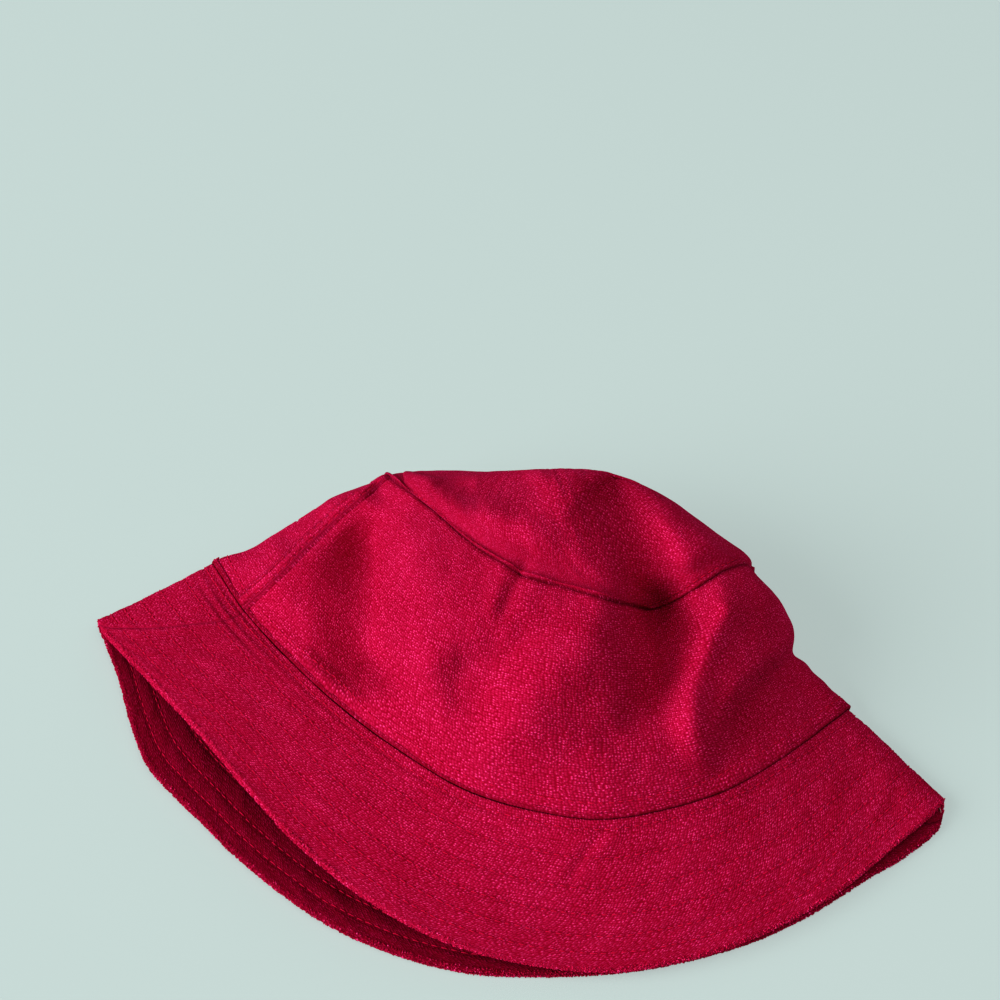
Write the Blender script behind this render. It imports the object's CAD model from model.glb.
"""Terry bucket hat lying half folded on the floor.

Z is up, the floor is at z = 0, and the camera looks from -Y, towards +Y and down. The back
half lies flat on the floor and the front half arches over it. The two halves meet in a fold
at the left (-X) and another at the right (+X). Lengths are in mm unless a name or comment
says otherwise, and become metres when a mesh is made.
"""
import math
from collections import namedtuple

import bpy
import bmesh
import numpy as np
from mathutils import Matrix, Vector


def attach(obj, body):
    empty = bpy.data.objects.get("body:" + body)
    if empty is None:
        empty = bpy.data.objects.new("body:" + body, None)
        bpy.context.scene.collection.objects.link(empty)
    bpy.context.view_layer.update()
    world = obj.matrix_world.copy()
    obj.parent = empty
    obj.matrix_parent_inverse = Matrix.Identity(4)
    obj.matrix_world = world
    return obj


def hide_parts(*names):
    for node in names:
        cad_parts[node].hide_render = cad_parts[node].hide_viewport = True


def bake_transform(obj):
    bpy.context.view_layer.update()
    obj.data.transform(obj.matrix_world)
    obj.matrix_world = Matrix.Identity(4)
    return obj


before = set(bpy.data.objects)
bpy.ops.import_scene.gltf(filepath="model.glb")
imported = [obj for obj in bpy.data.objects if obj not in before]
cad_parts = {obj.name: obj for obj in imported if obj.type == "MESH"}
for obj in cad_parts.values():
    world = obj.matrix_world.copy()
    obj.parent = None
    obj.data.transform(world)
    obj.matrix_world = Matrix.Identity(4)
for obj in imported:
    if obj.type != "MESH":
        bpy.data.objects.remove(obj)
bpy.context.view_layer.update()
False      # every run is built in full, whatever the answer
MM = 0.001


def unit(vectors):
    return vectors / np.maximum(np.linalg.norm(vectors, axis=-1, keepdims=True), 1e-9)


# ------------------------------------------------------------------ camera and view plane
# Outlines and folds are laid out on a plane square to the line of sight. Its coordinates
# are mm to the right of and above the point where the camera's axis meets it.
CAMERA = np.array([61.2, -258.5, 438.4])
RIGHT = unit(np.array([0.9730, 0.2308, 0.0]))
AHEAD = unit(np.array([-0.1484, 0.6254, -0.7660]))
UP = np.cross(RIGHT, AHEAD)
VIEW_DIST = 560.0       # camera to view plane


def sight(x, y, z):
    """Point at height z on the sight line through (x, y) of the view plane."""
    ray = RIGHT * x + UP * y + AHEAD * VIEW_DIST
    return CAMERA + ray * (CAMERA[2] - z) / (-ray[2])


def sighted(table):
    return [sight(*row) for row in table]


def view(points):
    """Where points are seen on the view plane."""
    rel = points - CAMERA
    depth = rel @ AHEAD
    return np.stack([VIEW_DIST * (rel @ RIGHT) / depth, VIEW_DIST * (rel @ UP) / depth], -1)


# ------------------------------------------------------------------ curves and grids
COLS = 864              # columns round the hat
HALF = COLS // 2
RING = 2400             # samples in a fold-aligned ring
SPLINE_STEPS = 24       # spline samples between control points
u = np.arange(COLS) / COLS


def bell(x, width):
    return np.exp(-(x / width) ** 2)


def smoothstep(x):
    x = np.clip(x, 0, 1)
    return x * x * (3 - 2 * x)


def arc(points):
    """Length along an open line up to each of its points."""
    steps = np.linalg.norm(np.diff(points, axis=0), axis=1)
    return np.concatenate([[0], np.cumsum(steps)])


def row_arc(grid):
    """Mean distance of each row from the first."""
    steps = np.linalg.norm(np.diff(grid, axis=0), axis=-1).mean(1)
    return np.concatenate([[0], np.cumsum(steps)])


def ring_len(grid):
    closed = np.concatenate([grid, grid[:, :1]], 1)
    return np.linalg.norm(np.diff(closed, axis=1), axis=-1).sum(1)


def seam_dist(grid, seam):
    """Signed distance from the column at share `seam` of the ring, positive towards larger u."""
    return ((u[None, :] - seam + 0.5) % 1.0 - 0.5) * ring_len(grid)[:, None]


def lerp_points(at, stations, points):
    return np.stack([np.interp(at, stations, points[:, k]) for k in range(points.shape[1])], -1)


def dense_spline(points, per=SPLINE_STEPS):
    """Closed centripetal spline with `per` samples from each control point to the next."""
    P = np.asarray(points, float)
    count = len(P)
    ext = np.vstack([P[-3:], P, P[:4]])
    knots = np.concatenate([[0], np.cumsum(np.linalg.norm(np.diff(ext, axis=0), axis=1) ** 0.5)])
    out = []
    for i in range(3, 3 + count):
        p0, p1, p2, p3 = ext[i - 1:i + 3]
        t0, t1, t2, t3 = knots[i - 1:i + 3]
        x = np.linspace(t1, t2, per + 1)[:-1, None]
        a1 = (t1 - x) / (t1 - t0) * p0 + (x - t0) / (t1 - t0) * p1
        a2 = (t2 - x) / (t2 - t1) * p1 + (x - t1) / (t2 - t1) * p2
        a3 = (t3 - x) / (t3 - t2) * p2 + (x - t2) / (t3 - t2) * p3
        b1 = (t2 - x) / (t2 - t0) * a1 + (x - t0) / (t2 - t0) * a2
        b2 = (t3 - x) / (t3 - t1) * a2 + (x - t1) / (t3 - t1) * a3
        out.append((t2 - x) / (t2 - t1) * b1 + (x - t1) / (t2 - t1) * b2)
    return np.vstack(out)


def resample(points, count, closed=False):
    reach = arc(points)
    if closed:
        at = np.linspace(0, reach[-1], count + 1)[:count]
    else:
        at = np.linspace(0, reach[-1], count)
    return lerp_points(at, reach, points)


def gauss_kernel(radius, sigma):
    kernel = np.exp(-0.5 * (np.arange(-radius, radius + 1) / sigma) ** 2)
    return kernel / kernel.sum()


def blur(field, along, across=0.0):
    """Gaussian blur of a rows x columns field: along wraps the columns, across holds its edges."""
    freq = np.fft.fftfreq(field.shape[1])
    gain = np.exp(-2 * (math.pi * freq * along) ** 2)
    gain = gain.reshape((1, -1) + (1,) * (field.ndim - 2))
    field = np.real(np.fft.ifft(np.fft.fft(field, axis=1) * gain, axis=1))
    if across > 0:
        r = int(3 * across) + 1
        kernel = gauss_kernel(r, across)
        pad = np.concatenate([np.repeat(field[:1], r, 0), field, np.repeat(field[-1:], r, 0)], 0)
        field = sum(kernel[i] * pad[i:i + field.shape[0]] for i in range(2 * r + 1))
    return field


def normals(grid):
    around = np.roll(grid, -1, 1) - np.roll(grid, 1, 1)
    return unit(np.cross(around, np.gradient(grid, axis=0)))


def thin_plate(sites, values, query, stiffness=1e-6):
    """Thin-plate interpolation from 2-D sites to values, read at query."""
    def kernel(r2):
        return np.where(r2 > 1e-18, 0.5 * r2 * np.log(np.maximum(r2, 1e-18)), 0.0)
    n = len(sites)
    plane = np.hstack([np.ones((n, 1)), sites])
    A = np.zeros((n + 3, n + 3))
    A[:n, :n] = kernel(((sites[:, None] - sites[None]) ** 2).sum(-1)) + stiffness * np.eye(n)
    A[:n, n:] = plane
    A[n:, :n] = plane.T
    W = np.linalg.solve(A, np.vstack([values, np.zeros((3, values.shape[1]))]))
    out = np.empty((len(query), values.shape[1]))
    chunk = 20000
    for i in range(0, len(query), chunk):
        q = query[i:i + chunk]
        far = kernel(((q[:, None] - sites[None]) ** 2).sum(-1))
        out[i:i + chunk] = far @ W[:n] + np.hstack([np.ones((len(q), 1)), q]) @ W[n:]
    return out


def path_distance(seen, path):
    """Distance to a path on the view plane, share along it, and side (+1 left of a downward path)."""
    path = np.asarray(path, float)
    reach = arc(path)
    best = np.full(seen.shape[:2], 1e9)
    share = np.zeros(seen.shape[:2])
    side = np.zeros(seen.shape[:2])
    for i, (start, end) in enumerate(zip(path[:-1], path[1:])):
        step = end - start
        rel = seen - start
        t = np.clip((rel @ step) / (step @ step), 0, 1)
        dist = np.linalg.norm(seen - (start + t[..., None] * step), axis=-1)
        turn = np.sign(step[1] * rel[..., 0] - step[0] * rel[..., 1])
        nearer = dist < best
        here = (reach[i] + t * (reach[i + 1] - reach[i])) / reach[-1]
        best = np.where(nearer, dist, best)
        share = np.where(nearer, here, share)
        side = np.where(nearer, turn, side)
    return best, share, side


# ------------------------------------------------------------------ the three seam rings
# Mid surface of the cloth. Each ring has an upper run from the left fold to the right one and
# a lower run back. Sighted rows are (x, y on the view plane, height); others are (x, y, z).
EDGE_LEFT, EDGE_RIGHT = (-160.8, -50, 4.2), (177.2, -121.6, 3.9)
EDGE_UPPER = [      # sighted
    (-158.4, -53.6, 6), (-151.6, -60.8, 11), (-140, -72.8, 16), (-120, -94, 21),
    (-100, -117.2, 22.5), (-80, -138.8, 21.5), (-52, -160.8, 18), (-24, -176, 13.5),
    (8, -185.2, 9), (40, -188.8, 6), (64, -186.4, 5.6), (96, -177.6, 5.6),
    (132, -159.2, 6), (160, -136.8, 6.5), (173.2, -125.6, 6.4)]
EDGE_LOWER = [      # sighted
    (176, -130.4, 2), (162.4, -142.4, 1.8), (147.6, -151.2, 1.7), (122.4, -166.8, 1.7),
    (98.4, -177.6, 1.7), (64.8, -186.4, 1.7), (40, -189.6, 1.7), (12, -190.4, 1.7),
    (-12, -189.2, 1.7), (-40, -182.4, 1.8), (-68, -170.4, 2), (-88.8, -156.4, 2.2),
    (-107.6, -140.8, 2.3), (-119.6, -128.8, 2.3), (-130.8, -118, 2.3), (-141.2, -106, 2.6),
    (-148, -88.4, 3), (-152.4, -72, 3.2), (-157.6, -58, 3)]
BASE_LEFT, BASE_RIGHT = (-112, -26, 6.2), (136.4, -83.2, 6.2)
BASE_SEAM = (-100, -44.4, 13)       # where the left side seam meets the base seam
BASE_UPPER = [      # sighted
    (-109.2, -30, 9), BASE_SEAM, (-80, -66, 17.5), (-62, -82, 20.5), (-40, -98, 23),
    (-12, -114, 25), (16, -122, 26), (40, -124.8, 26), (64, -121.2, 25), (88, -114, 23),
    (112, -100.4, 18.5), (128, -89.2, 13), (134, -84.8, 10)]
BASE_LOWER = [
    (115, 21, 1.9), (100, -2, 1.7), (78, -22, 1.7), (50, -36, 1.7), (20, -44, 1.7),
    (-12, -43, 1.7), (-45, -32, 1.7), (-75, -12, 1.7), (-98, 10, 1.7), (-113, 26, 2.2)]
RIM_LEFT, RIM_RIGHT = (-45.2, 9.2, 31), (99.2, -26.8, 44)
RIM_SEAM = (-43.6, 8.8, 35)         # where the left side seam meets the tip seam
RIM_UPPER = [       # sighted
    (-43.6, 8, 35), (-28, -2.8, 46), (-10, -18.4, 56), (2, -26, 60), (8.4, -30, 61),
    (12.8, -31.6, 62), (24, -34.8, 62), (40, -39.2, 59), (52, -42.4, 54), (60, -43.6, 50),
    (68, -40.8, 52), (76, -36.8, 56), (88, -29.2, 55), (96, -26.4, 50)]
RIM_LOWER = [
    (80, 60, 33), (78, 68, 21), (71, 69, 10), (59, 60, 2.5), (42, 48, 0.9), (16, 38, 0.9),
    (-10, 37, 0.9), (-34, 43, 0.9), (-52, 58, 2.5), (-61, 72, 12), (-65, 79, 23)]
# the left side seam as seen, from the base seam outwards
BRIM_SEAM_PATH = [(-100, -44.4), (-106, -48.8), (-122, -50.8), (-139.6, -52.8), (-159.6, -52)]
CROWN_SEAM_PATH = [(-100, -44.4), (-80, -27.6), (-63.2, -12.4), (-52, -0.8), (-44.4, 8.4)]


def fold_ring(upper, right, lower, left):
    """Closed ring in fold-aligned steps: sample 0 is the left fold, RING / 2 the right fold."""
    dense = dense_spline([sight(*left)] + sighted(upper) + [sight(*right)] + lower)
    turn = (len(upper) + 1) * SPLINE_STEPS
    runs = dense[:turn + 1], np.vstack([dense[turn:], dense[:1]])
    return np.vstack([resample(run, RING // 2 + 1)[:-1] for run in runs])


def seam_index(ring, point):
    return int(np.argmin(np.linalg.norm(ring[:RING // 2] - sight(*point), axis=1)))


def to_cols(ring, start):
    """Resamples a fold-aligned ring to equal columns, column 0 at sample `start`."""
    i = int(math.floor(start))
    f = start - i
    first = ring[i % RING] * (1 - f) + ring[(i + 1) % RING] * f
    return resample(np.vstack([first[None], np.roll(ring, -(i + 1), axis=0), first[None]]),
                    COLS, closed=True)


def fold_shares(ring, start):
    """Where the right and left folds fall, as shares of the ring from column 0."""
    reach = arc(np.vstack([ring, ring[:1]]))
    total = reach[-1]
    begin = np.interp(start, np.arange(RING + 1), reach)
    return ((reach[RING // 2] - begin) / total) % 1.0, ((total - begin) / total) % 1.0


def seam_samples(ring0, ring1, i0, i1, shares, path):
    """Sample of the left side seam on every row, so that it is seen along the path."""
    path = np.asarray(path, float)
    reach = arc(path)
    line = lerp_points(np.linspace(0, reach[-1], 200), reach, path)
    tries = np.linspace(0, max(i0, i1) * 1.6 + 30, 400)
    out = []
    for v in shares:
        seen = view(lerp_points(tries, np.arange(RING), ring0 * (1 - v) + ring1 * v))
        dist = np.linalg.norm(seen[:, None] - line[None], axis=-1).min(1)
        out.append(tries[int(np.argmin(dist))])
    out = np.array(out)
    out[0], out[-1] = i0, i1
    ext = np.concatenate([2 * out[0] - out[9:0:-1], out, 2 * out[-1] - out[-2:-11:-1]])
    return np.convolve(ext, gauss_kernel(9, 4.0), "valid")


def band(ring0, ring1, i0, i1, shares, path):
    """Ruled surface between two rings, with the fold shares (right, left) of its rows."""
    starts = seam_samples(ring0, ring1, i0, i1, shares, path)
    rings = [ring0 * (1 - v) + ring1 * v for v in shares]
    rows = np.array([to_cols(ring, i) for ring, i in zip(rings, starts)])
    folds = np.array([fold_shares(ring, i) for ring, i in zip(rings, starts)])
    return rows, folds[:, 0], folds[:, 1]


def run_share(right_fold, left_fold):
    """0 to 1 from the left to the right fold on the upper run, negative on the lower run."""
    here = u[None, :]
    rf = right_fold[:, None]
    lf = left_fold[:, None] - 1.0
    up = (here - lf) / (rf - lf)
    up = np.where(here >= 1 + lf, (here - 1 - lf) / (rf - lf), up)
    low = (here - rf) / (1 + lf - rf)
    return np.where((up >= 0) & (up <= 1), up, -low)


edge_ring = fold_ring(EDGE_UPPER, EDGE_RIGHT, sighted(EDGE_LOWER), EDGE_LEFT)
base_ring = fold_ring(BASE_UPPER, BASE_RIGHT, BASE_LOWER, BASE_LEFT)
rim_ring = fold_ring(RIM_UPPER, RIM_RIGHT, RIM_LOWER, RIM_LEFT)
base_start = seam_index(base_ring, BASE_SEAM)
rim_start = seam_index(rim_ring, RIM_SEAM)
edge_start = 6

# rows from the base seam to the brim edge, closest near both ends
brim_rows = np.concatenate([
    [0, 0.010, 0.020, 0.030, 0.037, 0.043, 0.049, 0.055, 0.061, 0.068, 0.076],
    np.linspace(0.086, 0.93, 62), np.linspace(0.93, 1, 13)[1:]])
CROWN_STEPS = 104
TIP_STEPS = 78
crown_rows = np.arange(CROWN_STEPS + 1) / CROWN_STEPS
brim, brim_right, brim_left = band(
    base_ring, edge_ring, base_start, edge_start, brim_rows, BRIM_SEAM_PATH)
crown, crown_right, crown_left = band(
    base_ring, rim_ring, base_start, rim_start, crown_rows, CROWN_SEAM_PATH)
crown_share = run_share(crown_right, crown_left)
brim_share = run_share(brim_right, brim_left)

# ------------------------------------------------------------------ tip
# Stations on a unit disc: x, and y as a share of the half chord there, the front at y < 0.
TIP_X = (-0.8, -0.5, -0.2, 0.1, 0.4, 0.7, 0.9)
TIP_STATIONS = [
    (-0.63, sighted([(-37.2, 8.8, 41), (-21.2, 1.2, 51), (-4, -8.8, 60), (22, -18, 65),
                     (48.8, -26, 60), (76, -24, 61), (92.8, -23.2, 52)])),
    (-0.3, sighted([(-38.4, 8.8, 36), (-24, 8.4, 45), (-4, 8.4, 53), (22, 9.2, 61),
                    (48, 5.6, 61), (76.8, -10.4, 57), (94.4, -24, 47)])),
    (0.05, [(-62, 80.5, 26), (-47, 80, 32.5), (-20, 79, 39.5), (10, 80, 43.5),
            (39, 78, 44), (67, 68, 39), (77, 60, 38)]),
    (0.4, [(-61, 82, 17), (-46, 87, 16), (-20, 89, 17), (10, 88, 18),
           (38, 84, 19), (66, 75, 19), (78, 67, 26)]),
    (0.7, [(-57, 75, 7), (-42, 75, 1.8), (-18, 75, 0.9), (10, 74, 0.9),
           (36, 71, 1.0), (60, 67, 4), (74, 67, 14)]),
]
tip_radius = 1 - np.arange(TIP_STEPS + 1) / TIP_STEPS     # share of the disc radius on each row


def tip_surface():
    """Tip spread over the disc, its outer row held on the crown's upper edge."""
    rim = crown[-1]
    sites = np.array([(x, y * math.sqrt(1 - x * x)) for y, _ in TIP_STATIONS for x in TIP_X])
    places = np.array([p for _, points in TIP_STATIONS for p in points])
    held = np.arange(0, COLS, 6)
    surface = thin_plate(np.vstack([circle[held], sites]), np.vstack([rim[held], places]),
                         disc.reshape(-1, 2)).reshape(TIP_STEPS + 1, COLS, 3)
    fade = np.clip(1 - (1 - tip_radius) / 0.15, 0, 1) ** 2
    return surface + (rim - surface[0])[None] * fade[:, None, None]


angle = 2 * math.pi * u
circle = np.stack([-np.cos(angle), -np.sin(angle)], -1)
disc = tip_radius[:, None, None] * circle[None]
tip = tip_surface()

# swell of the front crown between its two seams, nothing at the folded sides
front_arch = np.where(crown_share >= 0, np.sin(math.pi * np.clip(crown_share, 0, 1)), 0.0)
swell = blur(9.0 * np.sin(math.pi * crown_rows)[:, None] * front_arch ** 0.6, 6)
crown = crown + unit(blur(normals(crown), 8, 4)) * swell[..., None]

# ------------------------------------------------------------------ folds and hollows
# Each is raised or sunk along the line of sight, so the seams stay where they are seen.
# (path on the view plane, height, width on the left of a downward path, width on its right,
#  share tapered off at each end or at (start, end)[, reaches cloth turned away])
# A list of widths runs evenly along the path.
FOLDS = [
    # left seam band and the hollow beside it
    ([(-95.2, -39.2), (-80, -25.6), (-61.6, -8.8), (-48.8, 4.8)],
     7.4, [7.2, 10.4, 12, 8], 5.2, 0.15),
    ([(-87.2, -23.2), (-78.4, -12.8), (-67.2, -1.6)], -5.6, 3.6, 4.8, 0.35, True),
    # deep hollow, then the broad swell to its right
    ([(-52.8, 3.2), (-52, -18), (-49.6, -40), (-50.4, -58), (-43.2, -81.6)],
     -22.0, [8, 12.4, 14.4, 13.6, 10], 7.2, (0.34, 0.28)),
    ([(-39.2, 12), (-35.6, -12), (-33.6, -36), (-33.6, -60), (-27.2, -80)],
     8.5, 6, 23.2, (0.05, 0.30)),
    ([(-33.6, -56), (-25.6, -76), (-22.4, -90.4)], 3.0, 5.2, 7.2, 0.4),
    ([(0, -16), (6, -36), (8, -50)], 2.0, 12, 12, 0.3),
    # shallow creases low on the swell
    ([(-24, -62.4), (-12, -64), (4, -62.4), (20.8, -55.2)], -2.2, 4, 4, 0.35),
    ([(-17.6, -62), (-15.2, -76), (-13.6, -89.6)], -2.2, 6, 7.2, 0.45),
    ([(11.2, -61.6), (0, -71.2), (-6.4, -82.4), (-10.4, -96.8)], -2.8, 4.8, 4.4, 0.35),
    # low ridge and short crease to the right of the long fold
    ([(48.8, -52), (47.2, -72), (44.8, -96.8)], 2.2, 8, 3.6, 0.3),
    ([(57.6, -84.8), (46.4, -91.2), (36, -96.8)], -1.8, 5.6, 5.6, 0.4),
    # narrow ridge to the right of the deep valley
    ([(96, -36), (85.6, -51.2), (78.8, -63.2), (75.6, -76), (77.2, -89.6), (80.8, -107.2)],
     6.4, 4.8, 5.2, (0.15, 0.25)),
    # bulge at the right
    ([(82.4, -40.8), (97.6, -38), (112.8, -40)], 5.6, 7.2, 6.8, (0.35, 0.3)),
    # folded edge at the far left of the tip, the dip behind it and a low ridge
    ([(-38.4, 9.6), (-26.4, 4.8), (-15.2, -1.6), (-5.6, -5.6), (9.6, -10.4), (24.8, -18.4)],
     4.6, 4.8, 5.2, (0.08, 0.25)),
    ([(-28, 11.2), (-17.6, 4.4), (-9.6, 0.8), (1.6, 4.8), (16.8, 10.8)], -6.5, 4.4, 4, 0.2),
    ([(-10.4, -6.4), (2, 0), (14.4, 6.4), (24, 10)], 3.0, 3.6, 2.8, 0.2),
    # one long fold over the tip, across its seam and down the crown
    ([(19.2, 8), (28.8, -1.6), (36.8, -13.6), (43.2, -24.8), (46.4, -35.2), (42.4, -45.6),
      (34.4, -56.8), (24, -67.2), (13.6, -77.6), (6.8, -89.6), (2, -108)],
     7.0, 9.6, [8, 9.6, 8.8, 7.2, 6.4, 7.2, 9.6, 12.8, 14.4, 13.6, 11.2], (0.06, 0.2)),
    # deep valley beside it
    ([(38.4, 8.8), (48.8, -2.4), (58, -19.2), (65.6, -38.4), (71.2, -52), (67.2, -66.4),
      (60, -80.8), (52.8, -97.6)],
     -11.6, [8.8, 12, 11.2, 10.4, 13.6, 12, 9.2, 6.4], [5.6, 6, 6.4, 6, 6, 6.4, 7.6, 8],
     (0.06, 0.30)),
    ([(59.2, -29.6), (60.8, -41.6), (59.2, -52), (56, -60.8)], -6.0, 5.2, 5.6, 0.4),
    ([(60, -2.4), (71.2, -16), (79.2, -28.8)], 3.4, 5.6, 14.4, 0.3),
    # short pinch across the kink of the tip seam
    ([(12.8, -20.8), (8.8, -28.8), (4.4, -37.6), (-1.2, -49.6)], -2.3, 2.4, 2.4, 0.35),
    ([(7.2, -24), (3.2, -32), (-0.8, -39.2), (-5.6, -48.8)], 1.2, 3.2, 3.2, 0.35),
]
# the cloth to the right of this path is laid nearly flat behind the brim
FLAT_PATH = [(132, -40), (120, -58.4), (108, -65.6), (99.2, -74.4), (92, -84.8),
             (86.4, -97.6), (81.6, -120), (80, -144)]
FLAT_SHARE = 0.85       # how far it is laid flat
FLAT_BLEND = 4.8        # half width of the transition on the view plane
MIN_HEIGHT = 0.75       # of the crown's mid surface over the floor


def crease(grid, path, height, left, right, taper):
    """Signed height of a crease: Gaussian across, tapered along."""
    dist, share, side = path_distance(view(grid), path)

    def width_at(width):
        if isinstance(width, list):
            return np.interp(share, np.linspace(0, 1, len(width)), width)
        return width
    across = np.exp(-0.5 * (dist / np.where(side > 0, width_at(left), width_at(right))) ** 2)
    t0, t1 = taper if isinstance(taper, tuple) else (taper, taper)
    return (height * across * smoothstep(share / t0 + 0.1)
            * smoothstep((1 - share) / t1 + 0.1))


def fold_heights(grid, norms):
    """All folds together, fading where the cloth turns away from the camera."""
    facing = (norms * unit(CAMERA - grid)).sum(-1)
    near = smoothstep((facing - 0.02) / 0.25)
    wide = smoothstep((facing + 0.55) / 0.5)
    total = sum(crease(grid, *fold[:5]) * (wide if len(fold) > 5 else near) for fold in FOLDS)
    return blur(total, 2, 0.8)


def towards_camera(grid, height):
    return grid + unit(CAMERA - grid) * height[..., None]


def shape_side_folds(grid):
    """Crown folds: fuller below the tip seam and nipped in above the base."""
    def at_height(centre, spread):
        return bell(crown_rows - centre, spread)
    right = (1.6 * at_height(0.74, 0.16) - 4.7 * at_height(0.42, 0.085)
             - 2.3 * at_height(0.27, 0.08) - 1.2 * at_height(0.12, 0.08))
    left = -1.6 * at_height(0.17, 0.13) + 1.6 * at_height(0.70, 0.16)
    near_right = bell(seam_dist(grid, crown_right[:, None]), 26)
    near_left = bell(seam_dist(grid, crown_left[:, None]), 20)
    return (grid + (near_right * right[:, None])[..., None] * (RIGHT * 0.84 + UP * 0.54)
            + (near_left * left[:, None])[..., None] * (-RIGHT * 0.5 + UP * 0.86))


def flattening(grid, norms):
    """Shift along the line of sight that lays the lower right side wall down."""
    sight_dir = unit(CAMERA - grid)
    dist, _, side = path_distance(view(grid), FLAT_PATH)
    signed = dist * np.where(side > 0, -1.0, 1.0)
    mask = smoothstep((signed + FLAT_BLEND) / (2 * FLAT_BLEND))
    fold_col = np.rint(crown_right * COLS).astype(int) % COLS
    fold_z = grid[np.arange(len(crown_rows)), fold_col, 2]
    floor_z = np.maximum(grid[0][None, :, 2] + 0.6 + (11.0 * crown_rows)[:, None],
                         (fold_z + 3.2)[:, None])
    facing = smoothstep(((norms * sight_dir).sum(-1) + 0.40) / 0.45)
    drop = -mask * np.maximum(grid[..., 2] - floor_z, 0) / sight_dir[..., 2] * facing
    return blur(drop, 2, 0.8) * FLAT_SHARE


crown = shape_side_folds(crown)
# crown and tip share one normal along their seam, so a fold crosses it unbroken
crown_dir = unit(blur(normals(crown), 6, 3))
tip_dir = unit(blur(normals(tip[:-1]), 6, 3))
shared_dir = unit(crown_dir[-1] + tip_dir[0])[None]
crown_arc = row_arc(crown)
near_crown = bell(crown_arc[-1] - crown_arc, 7.0)[:, None, None]
near_tip = bell(row_arc(tip[:-1]), 7.0)[:, None, None]
crown_dir = unit(crown_dir * (1 - near_crown) + shared_dir * near_crown)
tip_dir = unit(tip_dir * (1 - near_tip) + shared_dir * near_tip)
crown = towards_camera(
    crown, fold_heights(crown, crown_dir) * smoothstep(crown_rows / 0.10)[:, None])
crown = towards_camera(crown, flattening(crown, crown_dir))
tip[:-1] = towards_camera(tip[:-1], fold_heights(tip[:-1], tip_dir))
for grid in (crown, tip):
    grid[..., 2] = np.maximum(grid[..., 2], MIN_HEIGHT)


# ------------------------------------------------------------------ finished mid surfaces
def front_follow(share, grid):
    """How far points follow the front half: none 48 inside the back, all 74 inside the front."""
    half_len = ring_len(grid)[:, None] * 0.5
    inside = np.where(share >= 0, np.minimum(share, 1 - share), -np.minimum(-share, 1 + share))
    return smoothstep((inside * half_len + 48) / (48 + 74))


def grid_uv(rows, reach, length):
    """UV in metres, round the hat and across the panel."""
    across = np.repeat((reach * MM)[:, None], COLS, 1)
    return np.stack([np.repeat((u * length)[None], rows, 0) * MM, across], -1)


# rows x columns of points and normals, follow share of the front half, uv, row distances
Surface = namedtuple("Surface", "points normals follow uv reach", defaults=(None,))

base_len, rim_len = ring_len(crown[:1])[0], ring_len(crown[-1:])[0]
edge_len = ring_len(brim[-1:])[0]
brim_x, crown_x, tip_x = row_arc(brim), row_arc(crown), row_arc(tip)
BRIM_W, CROWN_W, TIP_W = brim_x[-1], crown_x[-1], tip_x[-1]

BRIM = Surface(brim, -unit(blur(normals(brim), 1.5, 1.0)), front_follow(brim_share, brim),
               grid_uv(len(brim), brim_x, 0.5 * (base_len + edge_len)), brim_x)
CROWN = Surface(crown, unit(blur(normals(crown), 1.5, 1.0)), front_follow(crown_share, crown),
                grid_uv(len(crown), crown_x, 0.5 * (base_len + rim_len)), crown_x)
tip_normals = unit(blur(normals(tip[:-1]), 2.0, 1.2))
pole_normal = np.repeat(unit(tip_normals[-1].mean(0))[None, None], COLS, 1)
rim_part = tip_radius ** 2
TIP = Surface(tip, np.concatenate([tip_normals, pole_normal], 0),
              rim_part[:, None] * CROWN.follow[-1][None]
              + (1 - rim_part)[:, None] * smoothstep(tip[..., 2] / 34),
              disc * (TIP_W * MM), tip_x)


def lumps(rows, along, across, seed):
    """Smooth unit-variance noise over a grid that wraps along columns."""
    field = blur(np.random.RandomState(seed).standard_normal((rows, COLS)), along, across)
    return field / field.std()


# ------------------------------------------------------------------ mesh building
def new_mesh(name, points, faces):
    """Smooth mesh from points in mm, kept just off the floor."""
    points = np.array(points, float)
    points[:, 2] = np.maximum(points[:, 2], 0.05)
    me = bpy.data.meshes.new(name)
    me.from_pydata((points * MM).tolist(), [], [tuple(int(i) for i in f) for f in faces])
    me.polygons.foreach_set("use_smooth", [True] * len(me.polygons))
    return me


def set_uv(me, uv):
    layer = me.uv_layers.new(name="cloth")
    corner = np.empty(len(me.loops), np.int32)
    me.loops.foreach_get("vertex_index", corner)
    layer.data.foreach_set("uv", np.asarray(uv)[corner].astype(np.float32).ravel())


def place(me, mat, body=None):
    """Links the mesh. It rides on one body, or bends between the halves by its follow shares."""
    ob = bpy.data.objects.new(me.name, me)
    bpy.context.scene.collection.objects.link(ob)
    me.materials.append(mat)
    if body:
        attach(ob, body)
        return ob
    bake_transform(ob)
    return ob


def mesh_piece(name, points, faces, mat, body=None, uv=None):
    me = new_mesh(name, points, faces)
    if uv is not None:
        set_uv(me, uv)
    me.update()
    return place(me, mat, body)


def stand_in(ob, piece):
    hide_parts(piece)


def drop_loose(me, keep):
    bm = bmesh.new()
    bm.from_mesh(me)
    bmesh.ops.delete(bm, geom=[v for v in bm.verts if not keep[v.index]], context="VERTS")
    bm.to_mesh(me)
    bm.free()


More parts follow.
